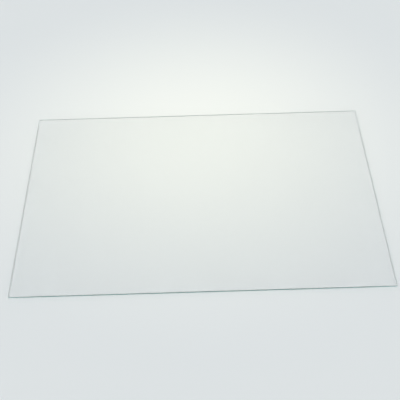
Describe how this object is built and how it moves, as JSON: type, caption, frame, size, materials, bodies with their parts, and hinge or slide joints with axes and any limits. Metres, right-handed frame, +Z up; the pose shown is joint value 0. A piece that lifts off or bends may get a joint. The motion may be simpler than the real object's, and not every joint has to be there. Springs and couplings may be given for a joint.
{
  "type": "crisper drawer cover",
  "caption": "Flat rectangular pane of clear tempered glass with a ground, seamed edge, the lid and shelf over a refrigerator's crisper drawers.",
  "frame": {"origin": "middle of the underside, the face that rests on the ledges over the drawers", "axes": "+X along the width, +Y to the back of the refrigerator, +Z up through the glass"},
  "size_m": [0.62, 0.394, 0.0032],
  "materials": {
    "clear_glass": "fire-polished faces, satin ground edge"
  },
  "bodies": {
    "root": {"glass_pane": "clear_glass"}
  },
  "joints": []
}
